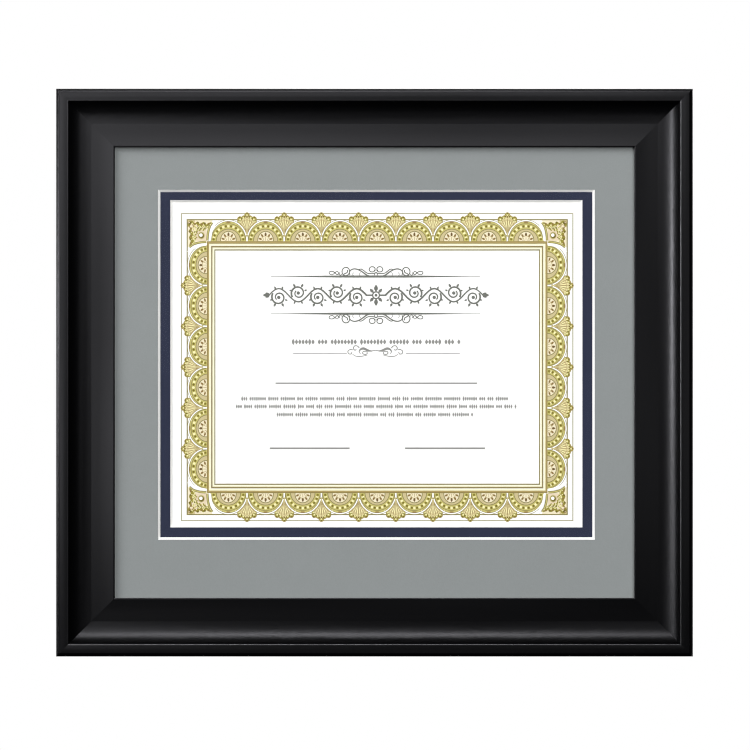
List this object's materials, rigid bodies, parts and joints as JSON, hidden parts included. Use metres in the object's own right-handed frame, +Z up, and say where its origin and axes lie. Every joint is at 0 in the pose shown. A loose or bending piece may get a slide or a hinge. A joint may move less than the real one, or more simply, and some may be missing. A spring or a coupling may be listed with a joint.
{
  "type": "certificate frame",
  "caption": "Landscape wall frame with a black mitred scoop moulding, glazing and a double window mat around a bordered certificate, closed behind by turn buttons.",
  "frame": {"origin": "the point where the wall nail bears in the middle notch of the sawtooth hanger, at half the strip's thickness", "axes": "+X to the right as seen from the front, +Y back towards the wall, +Z up"},
  "size_m": [0.3826, 0.0285, 0.3412],
  "materials": {
    "frame_wood": "satin",
    "nail_steel": "satin",
    "glazing": "polished",
    "mat_grey": "matte",
    "tape": "satin",
    "mat_navy": "matte",
    "sheet_paper": "matte",
    "hinge_paper": "matte",
    "foam_board": "matte",
    "hardboard": "matte",
    "button_steel": "satin",
    "screw_steel": "satin",
    "hanger_brass": "satin",
    "pin_steel": "satin",
    "bumper_rubber": "matte"
  },
  "bodies": {
    "root": {"rail_top": "frame_wood", "rail_bottom": "frame_wood", "rail_left": "frame_wood", "rail_right": "frame_wood", "corner_nails_top_left": "nail_steel", "corner_nails_top_right": "nail_steel", "corner_nails_bottom_left": "nail_steel", "corner_nails_bottom_right": "nail_steel", "glazing": "glazing", "top_mat": "mat_grey", "mat_tape": "tape", "bottom_mat": "mat_navy", "certificate": "sheet_paper", "hinge_tape_left": "hinge_paper", "hinge_tape_right": "hinge_paper", "mount_board": "foam_board", "backing_board": "hardboard", "turn_button_screws": "screw_steel", "sawtooth_hanger": "hanger_brass", "hanger_pins": "pin_steel", "bumper_left": "bumper_rubber", "bumper_right": "bumper_rubber"},
    "turn_button_top_left": {"turn_button_top_left": "button_steel"},
    "turn_button_top_right": {"turn_button_top_right": "button_steel"},
    "turn_button_bottom_left": {"turn_button_bottom_left": "button_steel"},
    "turn_button_bottom_right": {"turn_button_bottom_right": "button_steel"},
    "turn_button_left_upper": {"turn_button_left_upper": "button_steel"},
    "turn_button_left_lower": {"turn_button_left_lower": "button_steel"},
    "turn_button_right_upper": {"turn_button_right_upper": "button_steel"},
    "turn_button_right_lower": {"turn_button_right_lower": "button_steel"}
  },
  "joints": [
    {"name": "button_swivel_top_left", "type": "hinge", "parent": "root", "child": "turn_button_top_left", "pos_m": [-0.09, -0.00195, -0.00875], "axis": [0, 1, 0], "continuous": true},
    {"name": "button_swivel_top_right", "type": "hinge", "parent": "root", "child": "turn_button_top_right", "pos_m": [0.09, -0.00195, -0.00875], "axis": [0, 1, 0], "continuous": true},
    {"name": "button_swivel_bottom_left", "type": "hinge", "parent": "root", "child": "turn_button_bottom_left", "pos_m": [-0.09, -0.00195, -0.30725], "axis": [0, 1, 0], "continuous": true},
    {"name": "button_swivel_bottom_right", "type": "hinge", "parent": "root", "child": "turn_button_bottom_right", "pos_m": [0.09, -0.00195, -0.30725], "axis": [0, 1, 0], "continuous": true},
    {"name": "button_swivel_left_upper", "type": "hinge", "parent": "root", "child": "turn_button_left_upper", "pos_m": [-0.16995, -0.00195, -0.083], "axis": [0, 1, 0], "continuous": true},
    {"name": "button_swivel_left_lower", "type": "hinge", "parent": "root", "child": "turn_button_left_lower", "pos_m": [-0.16995, -0.00195, -0.233], "axis": [0, 1, 0], "continuous": true},
    {"name": "button_swivel_right_upper", "type": "hinge", "parent": "root", "child": "turn_button_right_upper", "pos_m": [0.16995, -0.00195, -0.083], "axis": [0, 1, 0], "continuous": true},
    {"name": "button_swivel_right_lower", "type": "hinge", "parent": "root", "child": "turn_button_right_lower", "pos_m": [0.16995, -0.00195, -0.233], "axis": [0, 1, 0], "continuous": true}
  ]
}
